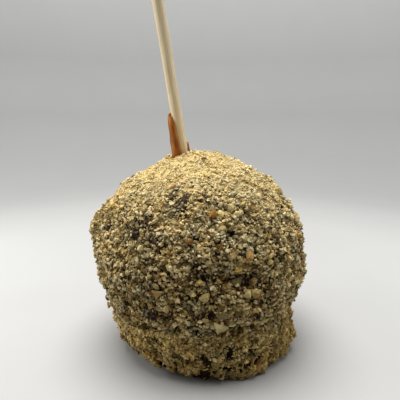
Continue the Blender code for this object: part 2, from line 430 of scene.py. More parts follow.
# the look that all the nuts share
nutLook = {
    "patchScale": 150,              # drifts of greyer and of warmer nuts, about 7 mm across
    "warm": (0.99, 0.94, 0.85, 1),
    "grey": (0.90, 0.94, 1.0, 1),
    "crown": (0.97, 0.955, 0.90, 1),
    "soakScale": 290,               # clumps that more caramel soaked into
    "soaked": (0.66, 1.06),         # brightness, soaked and dry
    "speckleScale": 1900,
    "speckle": 0.25,                # how much darker the specks are
    "foot": (1.0, 0.93, 0.74, 1),   # painted reflection: warm bounce light from a gold board, painted onto the nuts on the foot
}
white = (1, 1, 1, 1)


def makeNutLook():
    # a shader group: tints a nut's colour by where it lies, and gives a fine grain for its bump
    tree = ShaderTree(None, bpy.data.node_groups.new("nutLook", "ShaderNodeTree"))
    for label, kind, way in (("Color", "Color", "INPUT"), ("Speckle", "Float", "INPUT"),
                             ("Color", "Color", "OUTPUT"), ("Grain", "Float", "OUTPUT")):
        tree.tree.interface.new_socket(label, in_out=way, socket_type="NodeSocket" + kind)
    given = tree.node("NodeGroupInput").outputs
    made = tree.node("NodeGroupOutput").inputs
    # the crown's even tint, partly painted light from above, is also painted onto the fold's lip and
    # the far left as light
    crown = tree.attribute("crownAndLitShare")
    drift = tree.mapRange(tree.noise(nutLook["patchScale"], 2), 0.38, 0.62, 0.0, 1.0)
    tint = tree.mix(crown, tree.mix(drift, nutLook["warm"], nutLook["grey"]), nutLook["crown"])
    soaked = tree.mapRange(tree.noise(nutLook["soakScale"], 1), 0.38, 0.6, *nutLook["soaked"])
    # painted reflection: the foot's nuts take the warm tint of a gold board's bounce light
    foot = tree.mix(tree.attribute("footShare"), white, nutLook["foot"])
    colour = given["Color"]
    for layer in (tint, tree.mix(crown, soaked, white), foot):
        colour = tree.mix(1.0, colour, layer, "MULTIPLY")
    grain = tree.noise(nutLook["speckleScale"], 3)
    spots = tree.mapRange(grain, 0.3, 0.6, 0.0, 1.0)
    speck = tree.mix(1.0, colour, tree.math("SUBTRACT", 1.0, given["Speckle"]), "MULTIPLY")
    tree.fill(made["Color"], tree.mix(spots, speck, colour))
    tree.fill(made["Grain"], grain)
    return tree.tree


nutLookGroup = makeNutLook()


def makeCoatMaterial():
    tree = ShaderTree("darkCaramel")
    mottling = tree.noise(coat["mottleScale"], 4)
    colour = tree.ramp(mottling, ((0.35, coat["dark"]), (0.7, coat["light"])))
    # the more dust, the fewer bare spots between its specks
    level = tree.mapRange(tree.attribute("dustedLessShade"), 0.0, 1.0, *coat["dustLevel"])
    level = tree.math("ADD", tree.noise(coat["dustScale"], 3, roughness=0.7), level)
    amount = tree.mapRange(level, 0.42, 0.58, 0.0, 1.0)
    dust = tree.mix(tree.attribute("crownAndLitShare"), (*coat["dust"], 1), (*coat["paleAndLitDust"], 1))
    dust = tree.nutLook(dust, coat["speckle"])[0]
    tree.set("Base Color", tree.mix(amount, colour, dust))
    tree.set("Roughness", coat["roughness"])
    tree.set("Specular IOR Level", coat["specular"])
    tree.bump(tree.noise(coat["bumpScale"], 3), 0.6, 0.2 * mm)
    return tree.material


def creaseHeights(azimuths):
    table = []
    for degrees in range(361):
        away = awayFrom(degrees, crease["azimuth"])
        ring = turned(degrees) * crease["ringRadius"]
        strays = noise.fractal(ring / crease["wanderSize"], 1.0, 2.0, 3)
        front = math.exp(-(away / crease["spread"]) ** 2)
        table.append(crease["low"] + crease["wander"] * strays + crease["rise"] * front)
    return np.interp(azimuths % 360, np.arange(361), table)


def near(points, azimuth, height, reach):
    # 1 at a spot on the surface, falling smoothly to 0 round it; height and reach in mm
    radius = np.hypot(points[:, 0], points[:, 1])
    spot = turned(azimuth)
    centre = np.stack([spot.x * radius, spot.y * radius, np.full(len(points), height * mm)], 1)
    return hump(np.linalg.norm(points - centre, axis=1), reach * mm)


def footRelief(points, azimuths):
    # how far the foot's hollows and lumps push the wall, and how hollow it is
    chance = np.random.default_rng(footChance["seed"])
    forms = list(footForms)
    for i in range(footChance["count"]):
        wide, tall = chance.uniform(*footChance["sizes"], 2)
        goesIn = i % 5 < 3
        rise = chance.uniform(*footChance["hollows" if goesIn else "lumps"])
        azimuth, height = (chance.uniform(*footChance[key]) for key in ("azimuths", "heights"))
        forms.append((azimuth, height, wide, tall, -rise if goesIn else rise))
    relief, hollow = np.zeros(len(points)), np.zeros(len(points))
    radius = np.hypot(points[:, 0], points[:, 1])
    for azimuth, height, wide, tall, rise in forms:
        away = np.radians(awayFrom(azimuths, azimuth)) * radius
        share = np.exp(-(away / wide / mm) ** 2 - ((points[:, 2] / mm - height) / tall) ** 2)
        relief += rise * mm * share
        hollow = np.maximum(hollow, np.clip(share * -rise, 0, 1))
    return relief, hollow


def barenessAndShade(points):
    # 0 where nuts cover the coat closely, towards 1 where the caramel shows
    bareAndShaded = np.zeros(len(points))
    for azimuth, height, reach, amount in bareAndShadedPatches:
        bareAndShaded = np.maximum(bareAndShaded, amount * near(points, azimuth, height, reach))
    return bareAndShaded


def rising(points, low, high):
    # from 0 to 1 between two heights in mm
    return eased(points[:, 2], low * mm, high * mm)


def foldBand(zone, name):
    height, reach = crease[name]
    return hump(zone.overFold - height, reach)


def coatZones(points):
    # how far each point lies in each zone, from 0 to 1, and its height over the fold in mm
    azimuths = np.degrees(np.arctan2(points[:, 1], points[:, 0]))
    zone = SimpleNamespace(azimuths=azimuths)
    for name, (bearing, spread) in zoneBearings.items():
        setattr(zone, name, hump(awayFrom(azimuths, bearing), spread))
    for name, (low, high) in zoneHeights.items():
        setattr(zone, name, rising(points, low, high))
    zone.crown = rising(points, 53 + 5 * zone.front + 3 * zone.right, 73 + 2 * zone.right)
    zone.overFold = points[:, 2] - creaseHeights(azimuths) + crease["drop"] * zone.nearSide ** 2
    zone.overFold /= mm
    zone.foot = 1 - eased(zone.overFold, *crease["footEdge"])
    zone.skirt = zone.foot * (1 - zone.skirt)
    zone.base = 1 - zone.base
    zone.shoulder = zone.shoulder * (1 - zone.neck)
    # upright runs in the wall of the foot
    zone.runs = fieldNoise(points * np.array((1, 1, 0.45)), drips["wallWidth"], 60)
    return zone


def shapeCoat(mesh, points, normals, zone):
    # heaves, lumps and ripples of the set caramel
    push = -coat["inset"] * (1 - coat["crownInset"] * zone.crown)
    heave = coat["heave"] * fieldNoise(points, coat["heaveSize"], 40)
    push += heave * (1 - zone.foot) * (1 - zone.crown)
    push += coat["lump"] * fieldNoise(points, coat["lumpSize"], 3) * (1 - 0.2 * zone.crown)
    push += coat["ripple"] * fieldNoise(points, coat["rippleSize"], 8)
    for azimuth, height, reach, rise in swells:
        push += rise * mm * near(points, azimuth, height, reach)
    groove = 0.4 * zone.nearSide + 0.25 * zone.clearFold
    push -= crease["groove"] * groove * foldBand(zone, "grooveBand")
    push += crease["lip"] * zone.clearFold * foldBand(zone, "lipBand")
    push += drips["wallDepth"] * zone.runs * (0.3 * zone.foot + 0.3 * zone.skirt)
    relief, zone.hollow = footRelief(points, zone.azimuths)
    push += relief
    push -= coat["shoulder"] * zone.shoulder * (1 - zone.front)
    under = 1 - eased(points[:, 2], 0, drips["undercutHeight"])
    push -= drips["undercut"] * under * (0.6 - 0.5 * zone.runs)
    # near the floor the wall moves level, and the underside follows its rim
    radius = np.hypot(points[:, 0], points[:, 1])
    level = points[:, 2] < coat["levelBelow"]
    direction = normals.copy()
    direction[level] = np.stack([points[:, 0] / radius, points[:, 1] / radius,
                                 np.zeros(len(points))], 1)[level]
    beneath = (points[:, 2] < coat["floorClear"]) & (normals[:, 2] < -0.7)
    push[beneath] *= (np.minimum(radius / coat["rimRadius"], 1) ** 6)[beneath]
    push[awayFromStick(points) < coat["socketClear"]] = 0
    moved = points + direction * push[:, None]
    moved[:, 2] = np.maximum(moved[:, 2], 0)
    putPoints(mesh, moved)
    mesh.shade_smooth()


def coverCoat(mesh, points, zone):
    # how closely each kind of nut covers the coat, and how pale it is there
    bareAndShaded = barenessAndShade(points)
    drift = fieldNoise(points, 6 * mm, 20) + 0.6 * fieldNoise(points, 2.6 * mm, 31)
    shadow = crease["shadow"] * zone.clearFold * foldBand(zone, "shadowBand")
    # painted highlight: the fold's lip, where it catches the overhead light, gets paler nuts and
    # more dust
    lip = zone.clearFold * foldBand(zone, "litLipBand")
    # painted shade: the foot's hollows and the gaps between the drips, like the groove, lose nuts
    # and dust so they read dark where shade falls
    hollow = np.maximum(zone.hollow, np.clip(0.1 - 2.4 * zone.runs, 0, 0.6) * zone.skirt)
    gap = np.maximum(hollow, shadow)
    # painted light: the far left is covered more closely and painted paler, where light wraps round
    # the side
    left = zone.farLeft * (1 - zone.foot)
    bearing, spread, height, reach = lowFront
    low = np.exp(-(((zone.azimuths - bearing) / spread) ** 2
                   + ((points[:, 2] / mm - height) / reach) ** 2))
    foot, crown, top = zone.foot, zone.crown, zone.top
    crowned = crown * (1 - bareAndShaded)
    by = nutCover.coarse
    coarse = (1 - bareAndShaded) * (by.even + by.drift * drift) * (1 - by.foot * foot) * (1 - gap)
    coarse += by.crown * crowned
    coarse += by.farLeft * left - by.lip * lip
    by = nutCover.fine
    fine = by.even + by.drift * drift + by.foot * foot - by.lowFront * low
    fine = (1 - by.bareAndShaded * bareAndShaded) * fine * (1 - gap)
    fine += ((by.crown + by.top * top) * crowned + by.farLeft * left + by.lip * lip
             - by.base * zone.base)
    by = nutCover.stained
    stained = by.even + by.bareAndShaded * bareAndShaded - by.drift * drift + by.lowFront * low
    stained = stained * (1 - by.foot * foot) * (1 - crown)
    stained += -by.hollow * hollow - by.farLeft * left - by.lip * lip
    closed = (points[:, 2] < coat["floorClear"]) | (awayFromStick(points) < coat["stickClear"])
    for name, cover in (("coverCoarse", coarse), ("coverFine", fine), ("coverStained", stained)):
        cover = np.clip(cover, 0, 1)
        cover[closed] = 0
        storeFloat(mesh, name, cover)
    # painted shade: the dust thins out in the gaps and near the floor, so the dark caramel stands in
    # for shadow there
    by = nutCover.dustedLessShade
    dustedLessShade = (1 - bareAndShaded) * (by.even + by.drift * drift - by.lowFront * low)
    dustedLessShade += (by.crown + by.top * top) * crowned
    dustedLessShade += (by.foot * foot + by.farLeft * left + by.lip * lip - by.gap * gap
               - by.base * zone.base)
    # the crown's look: its own tint, partly painted light from above, and painted light on the
    # fold's lip and the far left
    by = nutCover.crowned
    crownAndLitShare = (by.crown + by.top * top) * crowned + by.lip * lip + by.farLeft * left
    # painted light and shade: the lip, upper and farLeft terms paint the nuts paler where light
    # falls, the skirt term darker where shade falls, and the crown and top terms are partly painted
    # light
    by = nutCover.pale
    upper = zone.upper * np.maximum(zone.front, zone.right)
    pale = (by.crown + by.top * top) * crown + by.lip * lip + by.foot * foot
    pale = pale - by.skirt * zone.skirt + by.upper * upper + by.farLeft * left
    for name, share in (("dustedLessShade", dustedLessShade), ("calm", crown + left), ("crownAndLitShare", crownAndLitShare),
                        ("footShare", foot), ("paleAndLitShare", pale)):
        storeFloat(mesh, name, np.clip(share, 0, 1))


def makeCoat():
    piece = addObject("caramelCoat", mergedCopy("coated_apple"))
    mesh, points, normals = fuse(piece, coat["voxel"])
    zone = coatZones(points)
    shapeCoat(mesh, points, normals, zone)
    coverCoat(mesh, points, zone)
    return piece


def skinOf(piece):
    # the piece's surface, for finding what lies on it
    builder = bmesh.new()
    builder.from_mesh(piece.data)
    skin = BVHTree.FromBMesh(builder)
    builder.free()
    return skin


def onSkin(skin, azimuth, height):
    outward = turned(azimuth)
    return skin.ray_cast(outward * 0.06 + Vector((0, 0, height)), -outward)[:2]


def dripRuns(chance):
    # azimuth, top, bottom and radius of every run, the placed ones first
    runs = [(azimuth, top * mm, bottom * mm + radius * mm, radius * mm)
            for azimuth, top, bottom, radius in placedRuns]
    for i in range(drips["count"]):
        azimuth = 360 * (i + chance.uniform(-0.4, 0.4)) / drips["count"]
        wide = 0.5 + 0.5 * math.sin(math.radians(azimuth + 90))
        thick = drips["thin"] + (drips["thick"] - drips["thin"]) * wide
        thick *= chance.uniform(*drips["vary"])
        top = chance.uniform(*drips["top"])
        bottom = chance.uniform(*drips["bottom"]) + thick
        bearing = awayFrom(azimuth, 0)
        if not drips["placedFrom"] < bearing < drips["placedTo"]:
            runs.append((bearing, top, bottom, thick))
    return runs


def makeDrips(skin):
    # each run is a string of balls, thickest low down, and the remesh fuses them
    chance = np.random.default_rng(drips["seed"])
    ball, ballFaces = plainBall(2)
    points, faces = [], []
    for i, (azimuth, top, bottom, thick) in enumerate(dripRuns(chance)):
        if i < len(placedRuns):
            slant = (crease["azimuth"] - azimuth) / drips["lean"]
        else:
            slant = chance.uniform(*drips["slant"])
        count = max(2, round((top - bottom) / drips["step"]))
        reach = 0
        for step in range(count + 1):
            share = step / count
            height = top + (bottom - top) * share
            swell = 1 + drips["beads"] * math.sin(step * drips["beadTurn"] + i)
            radius = thick * (drips["topShare"] + (1 - drips["topShare"]) * share) * swell
            bearing = azimuth + slant * share
            wall = onSkin(skin, bearing, height)[0]
            outward = turned(bearing)
            reach = max(wall.dot(outward) + drips["proud"] - radius,
                        reach - drips["hang"] * (top - bottom) / count)
            faces.append(ballFaces + len(points) * len(ball))
            points.append(ball * radius + np.array(outward * reach + Vector((0, 0, height))))
    mesh = bpy.data.meshes.new("caramelDrips")
    mesh.from_pydata(np.concatenate(points), [], np.concatenate(faces))
    piece = addObject("caramelDrips", mesh)
    mesh, points, normals = fuse(piece, drips["voxel"])
    lumps = fieldNoise(points, drips["lumpSize"], 12)
    points += normals * (drips["lump"] * lumps)[:, None]
    points[:, 2] = np.maximum(points[:, 2], 0.1 * mm)
    putPoints(mesh, points)
    mesh.shade_smooth()
    outer = (points[:, :2] * normals[:, :2]).sum(1) > 0
    cover = np.where(outer, np.clip(0.85 + 0.6 * lumps, 0, 1), 0.0)
    for name, values in (("coverCoarse", cover), ("coverFine", cover), ("coverStained", 0 * cover),
                         ("dustedLessShade", 0.9 + 0 * cover), ("crownAndLitShare", 0 * cover),
                         ("footShare", 1 + 0 * cover), ("paleAndLitShare", 0.35 + 0 * cover)):
        storeFloat(mesh, name, values)
    return piece


class GeometryTree(NodeTree):
    def __init__(self, name, inputs):
        self.tree = bpy.data.node_groups.new(name, "GeometryNodeTree")
        sockets = [("Geometry", "Geometry", "INPUT")]
        sockets += [(label, kind, "INPUT") for kind, labels in inputs for label in labels]
        for label, kind, way in (*sockets, ("Geometry", "Geometry", "OUTPUT")):
            self.tree.interface.new_socket(label, in_out=way, socket_type="NodeSocket" + kind)
        self.given = self.tree.nodes.new("NodeGroupInput").outputs
        self.end = self.tree.nodes.new("NodeGroupOutput")

    def vector(self, operation, a, b=(0, 0, 0)):
        made = self.node("ShaderNodeVectorMath", {0: a, 1: b}, operation=operation)
        return made.outputs["Value" if operation == "DOT_PRODUCT" else "Vector"]

    def scaled(self, vector, factor):
        values = {0: vector, "Scale": factor}
        return self.node("ShaderNodeVectorMath", values, operation="SCALE").outputs["Vector"]

    def xyz(self, x, y, z):
        return self.node("ShaderNodeCombineXYZ", {"X": x, "Y": y, "Z": z}).outputs[0]

    def position(self):
        return self.node("GeometryNodeInputPosition").outputs[0]

    def random(self, low, high, seed, ident):
        # a number, or a vector between two corners
        first, out, kind = (0, 0, "FLOAT_VECTOR") if isinstance(low, tuple) else (2, 1, "FLOAT")
        values = {first: low, first + 1: high, "Seed": seed, "ID": ident}
        return self.node("FunctionNodeRandomValue", values, data_type=kind).outputs[out]

    def store(self, geometry, name, value, kind="FLOAT", domain="POINT"):
        values = {"Geometry": geometry, "Name": name, "Value": value}
        return self.node("GeometryNodeStoreNamedAttribute", values,
                         data_type=kind, domain=domain).outputs["Geometry"]

    def read(self, name, kind="FLOAT"):
        made = self.node("GeometryNodeInputNamedAttribute", {"Name": name}, data_type=kind)
        return made.outputs["Attribute"]


clumpSize = 2.4 * mm
nutInputs = (
    ("Float", ("Spacing", "Density", "Smallest", "Largest", "Sunk", "Proud", "Flatness",
               "Cut", "Roughen", "Jitter", "Clump")),
    ("Int", ("Seed", "Detail")), ("Bool", ("Square",)), ("String", ("Cover",)),
    ("Material", ("Material",)),
)

# a grain's own shade, from the palest to the darkest, and what its clump adds to it: painted shade,
# darker for grains lying low between clumps
nutShade = {"palest": 0.05, "darkest": 0.85, "clump": -3.0}
# every grain's form; lengths are in grain sizes
grainForm = {
    "commoner": 1.7,            # the higher, the commoner small grains are
    "calmed": -0.5,             # how far a grain sinks where the coat is calm
    "block": (0.8, 0.8, 0.8),
    "ball": 0.5,
    "tilt": ((-0.7, -0.7, 0), (0.7, 0.7, 6.283)),
    "stretch": ((0.95, 0.65, 0.6), (1.4, 1.0, 1.0)),
    "knobs": 1.6,
    "knobsApart": 1.7,
    "unlike": 0.731,            # how unlike the knobs of two grains are
    "cuts": 3,
    "cutDepth": (0.75, 1.35),
    "lowest": 0.05 * mm,        # no corner is nearer to the floor
}
anyWay = ((-1, -1, -1), (1, 1, 1))


def makeNutTree():
    # scatters chopped nuts over a surface: unlike grains with broken faces, each with its own shade
    tree = GeometryTree("choppedNuts", nutInputs)
    given, calc, node = tree.given, tree.math, tree.node
    index = node("GeometryNodeInputIndex").outputs[0]

    def drawn(low, high, shift, ident=index):
        return tree.random(low, high, calc("ADD", given["Seed"], shift), ident)

    spread = node("GeometryNodeDistributePointsOnFaces", {
        "Mesh": given["Geometry"], "Distance Min": given["Spacing"],
        "Density Max": given["Density"], "Density Factor": tree.read(given["Cover"]),
        "Seed": given["Seed"]}, distribute_method="POISSON")
    # small grains are commoner than large ones
    chance = calc("POWER", drawn(0.0, 1.0, 0), grainForm["commoner"])
    span = calc("SUBTRACT", given["Largest"], given["Smallest"])
    size = calc("MULTIPLY_ADD", chance, span, given["Smallest"])
    heaps = node("ShaderNodeTexNoise", {"Scale": 1 / clumpSize, "Detail": 1.0}).outputs["Fac"]
    points = spread.outputs["Points"]
    for name, value, kind in (("grainSize", size, "FLOAT"),
                              ("grainLift", drawn(given["Sunk"], given["Proud"], 11), "FLOAT"),
                              ("grainNumber", index, "INT"),
                              ("grainUp", spread.outputs["Normal"], "FLOAT_VECTOR"),
                              ("grainHeap", calc("SUBTRACT", heaps, 0.5), "FLOAT")):
        points = tree.store(points, name, value, kind)
    size, lift, heap = (tree.read(name) for name in ("grainSize", "grainLift", "grainHeap"))
    # they lie lower where the coat is calm
    lower = calc("MULTIPLY_ADD", tree.read("calm"), grainForm["calmed"], lift)
    rise = calc("MULTIPLY_ADD", size, lower, calc("MULTIPLY", heap, given["Clump"]))
    rise = tree.scaled(spread.outputs["Normal"], rise)
    points = node("GeometryNodeSetPosition", {"Geometry": points, "Offset": rise}).outputs[0]
    points = tree.store(points, "grainCentre", tree.position(), "FLOAT_VECTOR")
    # one plain grain, copied to each point
    block = node("GeometryNodeMeshCube", {"Size": grainForm["block"]}).outputs["Mesh"]
    ball = node("GeometryNodeMeshIcoSphere", {"Radius": grainForm["ball"],
                                              "Subdivisions": given["Detail"]})
    grain = node("GeometryNodeSwitch", {"Switch": given["Square"], "False": ball.outputs["Mesh"],
                                        "True": block}, input_type="GEOMETRY").outputs[0]
    grain = tree.store(grain, "grainLocal", tree.position(), "FLOAT_VECTOR")
    tilt = drawn(*grainForm["tilt"], 23)
    tilt = node("FunctionNodeEulerToRotation", {"Euler": tilt}).outputs[0]
    rotation = node("FunctionNodeRotateRotation", {
        "Rotation": spread.outputs["Rotation"], "Rotate By": tilt}, rotation_space="LOCAL")
    stretch = drawn(*grainForm["stretch"], 31)
    stretch = tree.vector("MULTIPLY", stretch, tree.xyz(1.0, 1.0, given["Flatness"]))
    copies = node("GeometryNodeInstanceOnPoints", {
        "Points": points, "Instance": grain, "Rotation": rotation.outputs[0],
        "Scale": tree.scaled(stretch, size)})
    nuts = node("GeometryNodeRealizeInstances", {"Geometry": copies.outputs[0]}).outputs[0]
    # each grain is made unlike the others: knobs and chips first, then flat broken faces
    number = tree.read("grainNumber", "INT")
    centre, local, up = (tree.read(name, "FLOAT_VECTOR")
                         for name in ("grainCentre", "grainLocal", "grainUp"))
    offset = tree.vector("SUBTRACT", tree.position(), centre)
    knobs = node("ShaderNodeTexNoise", {
        "Vector": tree.scaled(local, grainForm["knobsApart"]), "Detail": 1.0,
        "W": calc("MULTIPLY", number, grainForm["unlike"]), "Scale": grainForm["knobs"],
    }, noise_dimensions="4D").outputs["Fac"]
    swell = calc("MULTIPLY_ADD", calc("SUBTRACT", knobs, 0.5), given["Roughen"], 1.0)
    offset = tree.scaled(offset, swell)
    chips = tree.scaled(drawn(*anyWay, 37), calc("MULTIPLY", size, given["Jitter"]))
    offset = tree.vector("ADD", offset, chips)
    reach = calc("MULTIPLY", size, given["Cut"])
    for cut in range(grainForm["cuts"]):
        facing = tree.vector("NORMALIZE", drawn(*anyWay, 41 + cut, number))
        depth = calc("MULTIPLY", reach, drawn(*grainForm["cutDepth"], 51 + cut, number))
        past = calc("SUBTRACT", tree.vector("DOT_PRODUCT", offset, facing), depth)
        past = tree.scaled(facing, calc("MAXIMUM", past, 0.0))
        offset = tree.vector("SUBTRACT", offset, past)
    place = tree.vector("ADD", centre, offset)
    parts = node("ShaderNodeSeparateXYZ", {0: place}).outputs
    place = tree.xyz(parts[0], parts[1], calc("MAXIMUM", parts[2], grainForm["lowest"]))
    nuts = node("GeometryNodeSetPosition", {"Geometry": nuts, "Position": place}).outputs[0]
    # the grains of one clump are much alike, and painted shade makes those lying low between clumps
    # darker
    own = drawn(nutShade["palest"], nutShade["darkest"], 61, number)
    shade = calc("MULTIPLY_ADD", heap, nutShade["clump"], own)
    nuts = tree.store(nuts, "grainShade", calc("MINIMUM", calc("MAXIMUM", shade, 0.0), 1.0))
    # how high each corner stands over the coat, in grain sizes
    rise = tree.vector("DOT_PRODUCT", tree.vector("SUBTRACT", place, centre), up)
    nuts = tree.store(nuts, "grainRise", calc("ADD", calc("DIVIDE", rise, size), lift))
    # every grain gets a small square of the bake's map to itself
    count = node("GeometryNodeAttributeDomainSize", {"Geometry": points}, component="POINTCLOUD")
    across = calc("CEIL", calc("SQRT", count.outputs["Point Count"]))
    row = calc("FLOOR", calc("DIVIDE", number, across))
    cell = tree.xyz(calc("FLOORED_MODULO", number, across), row, 0.0)
    cell = tree.vector("ADD", tree.vector("ADD", cell, (0.5, 0.5, 0)),
                       tree.vector("MULTIPLY", local, (0.8, 0.8, 0)))
    cell = tree.scaled(cell, calc("DIVIDE", 1.0, across))
    nuts = tree.store(nuts, "OFBake", cell, "FLOAT2", "CORNER")
    nuts = node("GeometryNodeSetShadeSmooth", {"Geometry": nuts, "Shade Smooth": False})
    nuts = node("GeometryNodeRealizeInstances", {"Geometry": nuts.outputs[0]})
    nuts = node("GeometryNodeSetMaterial", {"Geometry": nuts.outputs[0],
                                            "Material": given["Material"]})
    tree.fill(tree.end.inputs[0], nuts.outputs[0])
    return tree.tree


# how caramel creeping up from below darkens the nuts, with painted shade where each grain sits low
# on the coat; heights in grain sizes
nutCreepAndShade = {
    "low": -0.35,
    "high": 0.8,
    "body": (0.60, 0.44, 0.18, 1),
    "crown": (0.84, 0.72, 0.42, 1),
}


def makeNutMaterial(name, shades):
    # shades: the colours from the palest grain to the darkest
    tree = ShaderTree(name)
    # grains are paler on the crown and the foot; painted light makes them paler on the crown's top,
    # the upper front and right, the fold's lip and the far left, and painted shade makes them darker
    # low on the skirt
    paler = tree.mapRange(tree.attribute("paleAndLitShare"), 0.0, 1.0, 1.0, 0.1)
    colour = tree.ramp(tree.math("MULTIPLY", tree.attribute("grainShade"), paler), shades)
    # caramel has crept up from below, and painted shade darkens each grain's corners that lie low
    # near the coat
    low = tree.mix(tree.attribute("crownAndLitShare"), nutCreepAndShade["body"], nutCreepAndShade["crown"])
    clear = tree.mapRange(tree.attribute("grainRise"), nutCreepAndShade["low"], nutCreepAndShade["high"], 0.0, 1.0)
    colour = tree.mix(1.0, colour, tree.mix(clear, low, white), "MULTIPLY")
    colour, grain = tree.nutLook(colour, nutLook["speckle"])
    tree.set("Base Color", colour)
    tree.set("Roughness", 0.7)
    tree.set("Specular IOR Level", 0.1)
    tree.bump(grain, 0.7, 0.25 * mm)
    return tree.material


paleShades = ((0.0, (0.80, 0.68, 0.40)), (0.4, (0.78, 0.64, 0.34)), (0.8, (0.52, 0.38, 0.14)),
              (1.0, (0.40, 0.24, 0.07)))
goldShades = ((0.0, (0.80, 0.66, 0.35)), (0.5, (0.56, 0.42, 0.17)), (1.0, (0.28, 0.17, 0.05)))
dullShades = ((0.0, (0.76, 0.65, 0.38)), (0.45, (0.48, 0.40, 0.20)), (0.8, (0.22, 0.175, 0.075)),
              (1.0, (0.12, 0.085, 0.035)))
stainedShades = ((0.0, (0.44, 0.37, 0.26)), (0.35, (0.24, 0.19, 0.14)), (0.7, (0.10, 0.075, 0.055)),
                 (1.0, (0.03, 0.02, 0.014)))
toastedShades = ((0.0, (0.58, 0.30, 0.07)), (0.6, (0.40, 0.17, 0.03)), (1.0, (0.18, 0.06, 0.015)))
chunkShades = ((0.0, (0.76, 0.63, 0.33)), (0.5, (0.50, 0.38, 0.17)), (0.8, (0.30, 0.21, 0.08)),
               (1.0, (0.36, 0.17, 0.05)))
# a larger piece's tone, from 0 to 1
pieceShades = ((0.0, (0.90, 0.72, 0.31)), (0.17, (0.54, 0.43, 0.18)), (0.33, (0.74, 0.52, 0.12)),
               (0.5, (0.25, 0.20, 0.08)), (0.65, (0.14, 0.10, 0.04)), (0.75, (0.41, 0.26, 0.08)),
               (0.84, (0.44, 0.20, 0.03)), (1.0, (0.11, 0.045, 0.02)))

# one piece for each kind of nut on the coat
nutKinds = (
    {"name": "nutGritDull", "spacing": 0.7, "density": 1.6, "seed": 3, "square": True,
     "cover": "coverFine", "smallest": 0.45, "largest": 0.95, "sunk": -0.1, "proud": 0.8,
     "jitter": 0.26, "shades": dullShades},
    {"name": "nutGritPale", "spacing": 0.68, "density": 1.9, "seed": 7, "square": True,
     "cover": "coverFine", "smallest": 0.45, "largest": 1.0, "sunk": 0.1, "proud": 1.1,
     "jitter": 0.26, "shades": paleShades},
    {"name": "nutStained", "spacing": 0.75, "density": 1.5, "seed": 13, "square": True,
     "cover": "coverStained", "smallest": 0.6, "largest": 1.2, "sunk": -0.1, "proud": 0.5,
     "jitter": 0.26, "shades": stainedShades},
    {"name": "nutCrumbsDull", "spacing": 0.7, "density": 0.9, "seed": 17, "cover": "coverCoarse",
     "smallest": 0.75, "largest": 1.9, "sunk": -0.1, "proud": 0.5, "shades": dullShades},
    {"name": "nutCrumbsGold", "spacing": 0.7, "density": 0.9, "seed": 23, "cover": "coverCoarse",
     "smallest": 0.7, "largest": 1.9, "sunk": 0.0, "proud": 0.6, "shades": goldShades},
    {"name": "nutCrumbsPale", "spacing": 0.7, "density": 0.9, "seed": 29, "cover": "coverCoarse",
     "smallest": 0.7, "largest": 1.9, "sunk": 0.05, "proud": 0.65, "shades": paleShades},
    {"name": "nutChunks", "spacing": 2.8, "density": 0.05, "seed": 37, "detail": 2,
     "smallest": 1.5, "largest": 2.6, "sunk": 0.0, "proud": 0.3, "flatness": 0.85,
     "roughen": 1.3, "jitter": 0.08, "cut": 0.3, "shades": chunkShades},
    {"name": "nutToasted", "spacing": 6.0, "density": 0.008, "seed": 43, "detail": 2,
     "smallest": 1.1, "largest": 2.0, "sunk": 0.0, "proud": 0.4, "flatness": 0.7,
     "roughen": 0.7, "jitter": 0.06, "shades": toastedShades},
)
# and on the drips
dripNutKinds = (
    {"name": "nutDripGrit", "spacing": 0.45, "density": 2.2, "seed": 53, "square": True,
     "cover": "coverFine", "smallest": 0.35, "largest": 0.75, "sunk": -0.1, "proud": 0.4,
     "jitter": 0.26, "clump": 0.1, "shades": paleShades},
    {"name": "nutDripCrumbs", "spacing": 1.5, "density": 0.2, "seed": 59,
     "smallest": 0.8, "largest": 1.5, "sunk": 0.0, "proud": 0.4, "clump": 0.1,
     "shades": goldShades},
)
nutDefaults = {"cover": "coverCoarse", "square": False, "detail": 1, "flatness": 0.9, "cut": 0.36,
               "roughen": 0.9, "jitter": 0.24, "clump": 1.9}
# what the scattering and the coat's shader need and the nuts don't
spareLayers = ("grainCentre", "grainLocal", "grainNumber", "grainSize", "grainUp", "grainHeap",
               "coverCoarse", "coverFine", "coverStained", "dustedLessShade", "calm")


def makeNuts(kind, surface, tree):
    kind = {**nutDefaults, **kind}
    piece = addObject(kind["name"], surface.data.copy())
    modifier = piece.modifiers.new("scatter", "NODES")
    modifier.node_group = tree
    idents = {item.name: item.identifier for item in tree.interface.items_tree
              if item.in_out == "INPUT"}
    given = {label: kind[label.lower()] for kindOf, labels in nutInputs for label in labels
             if kindOf != "Material"}
    for label in ("Spacing", "Smallest", "Largest", "Clump"):
        given[label] *= mm
    given["Density"] /= mm ** 2
    given["Material"] = makeNutMaterial(kind["name"], kind["shades"])
    for label, value in given.items():
        modifier[idents[label]] = value
    bakeModifiers(piece)
    for spare in spareLayers:
        if spare in piece.data.attributes:
            piece.data.attributes.remove(piece.data.attributes[spare])
    finishPiece(piece)


